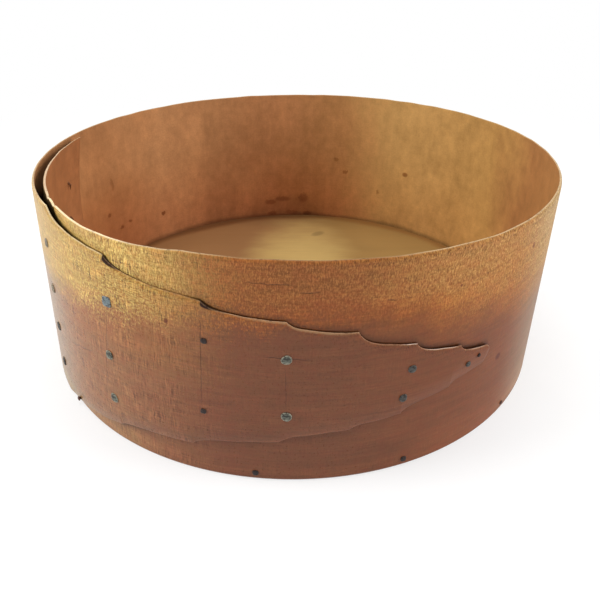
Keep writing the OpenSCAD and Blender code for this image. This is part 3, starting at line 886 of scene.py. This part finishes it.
# The bottom brads: thin wire-cut brads driven through the hoop into the edge of the bottom
# board, stepped off round the box by eye. The ones at both sides are smaller and browner.
brad_count, left_brad, front_brad, brad_step = 12, -50.0, -6.6, 27.2
wire_head, small_head, wire_shank, wire_deep = 2.6, 2.0, 1.4, 10.8
brad_height = bottom_thick * 0.65
side_ones = (0, 3)
for k in range(brad_count):
    turn = front_brad + (k - 1) * brad_step if k else left_brad
    turn = turn - once_round if turn >= inner_end + once_round else turn
    covered = turn <= tip_turn and float(lower_edge(turn + once_round)) < brad_height
    ply = turn + once_round if covered else turn
    seat = float(inner_face(ply, brad_height) + thickness(ply))
    inside = float(inner_face(turn, brad_height))
    head_wide, finish = (small_head, brown_iron) if k in side_ones else (wire_head, rusty_iron)
    fastener(f"bottom_brad_{k + 1}", turn, brad_height, head_wide, wire_shank, seat, inside,
             finish, square=0.06, tilt=5.0, straight=wire_deep)


# The studio: a pale floor that runs out to a white surround, with large soft lights at both
# sides and above. The camera stands in front, a little above the rim, looking down.
def floor_finish():
    finish, tone, shader = new_finish("pale_floor")
    seen = tone.node("LightPath", output="Is Camera Ray")
    glossy = tone.node("LightPath", output="Is Glossy Ray")
    clear = tone.node("LightPath", output="Is Transmission Ray")
    speck = tone.node("TexNoise", None, {"Vector": tone.node("TexCoord", output="Object"), "Scale": 40.0})
    pale = tone.blend((0.86, 0.86, 0.86), (0.90, 0.90, 0.90), speck)
    give(shader, tone, Base_Color=pale, Roughness=0.9, Specular_IOR_Level=0.0)
    glow = tone.node("Emission", None, {"Color": (1.0, 1.0, 1.0), "Strength": 1.0})
    x, y, _ = tone.node("TexCoord", output="Object").parts()
    away = tone.worked("SQRT", x * x + y * y).rise(0.14, 0.55)
    share = seen.most(glossy).most(clear) * (0.55 + 0.45 * away)
    plain = Tone(tone.tree, shader.outputs[0])
    mixed = tone.node("MixShader", None, {0: share, 1: plain, 2: glow})
    tone.tree.links.new(mixed.socket, tone.tree.nodes["Material Output"].inputs["Surface"])
    return finish


floor_turns = np.arange(0.0, once_round, 3.0)
floor_count, floor_radius, floor_drop = len(floor_turns), 4000.0, 0.0002
floor_points = around(floor_turns, np.full(floor_count, floor_radius), np.zeros(floor_count))
floor_points = floor_points - (0, 0, floor_drop)
floor_mesh = bpy.data.meshes.new("floor")
floor_mesh.from_pydata(floor_points.tolist(), [], [list(range(floor_count))])
floor_mesh.materials.append(floor_finish())
floor = bpy.data.objects.new("floor", floor_mesh)
bpy.context.scene.collection.objects.link(floor)

surround = bpy.data.worlds.new("surround")
bpy.context.scene.world = surround
surround.use_nodes = True
sky = Tone(surround.node_tree)
seen = sky.node("LightPath", output="Is Camera Ray")
for ray in ("Is Glossy Ray", "Is Transmission Ray"):
    seen = seen.most(sky.node("LightPath", output=ray))
room = sky.node("Background", None, {"Color": (1.0, 1.0, 1.0), "Strength": 0.42})
white = sky.node("Background", None, {"Color": (1.0, 1.0, 1.0), "Strength": 1.0})
backdrop = sky.node("MixShader", None, {0: seen, 1: room, 2: white})
sky.tree.links.new(backdrop.socket, surround.node_tree.nodes["World Output"].inputs["Surface"])


def soft_light(name, place, aim, size, power):
    lamp = bpy.data.lights.new(name, "AREA")
    lamp.shape = "DISK"
    lamp.size = size
    lamp.energy = power
    light = bpy.data.objects.new(name, lamp)
    light.location = place
    away = np.array(aim) - np.array(place)
    away = away / np.linalg.norm(away)
    light.rotation_euler = (math.acos(-away[2]), 0.0, math.atan2(away[1], away[0]) - math.pi / 2)
    light.visible_glossy = False
    bpy.context.scene.collection.objects.link(light)


soft_light("left_light", (-1.15, -0.1, 0.6), (0.0, 0.0, 0.05), 0.9, 19.0)
soft_light("right_light", (1.15, -0.1, 0.6), (0.0, 0.0, 0.05), 0.9, 14.0)
soft_light("top_light", (0.0, 0.1, 1.4), (0.0, 0.0, 0.05), 1.0, 9.0)

eye = bpy.data.cameras.new("eye")
eye.sensor_width = 36.0
eye.lens = 36.354
eye.shift_y = -0.1122
eye.clip_start = 0.01
camera = bpy.data.objects.new("eye", eye)
camera.location = (0.0029, -0.2971, 0.1863)
camera.rotation_euler = (math.radians(90.0 - 25.06), 0.0, 0.0)
bpy.context.scene.collection.objects.link(camera)
bpy.context.scene.camera = camera
bpy.context.scene.view_settings.view_transform = "Standard"
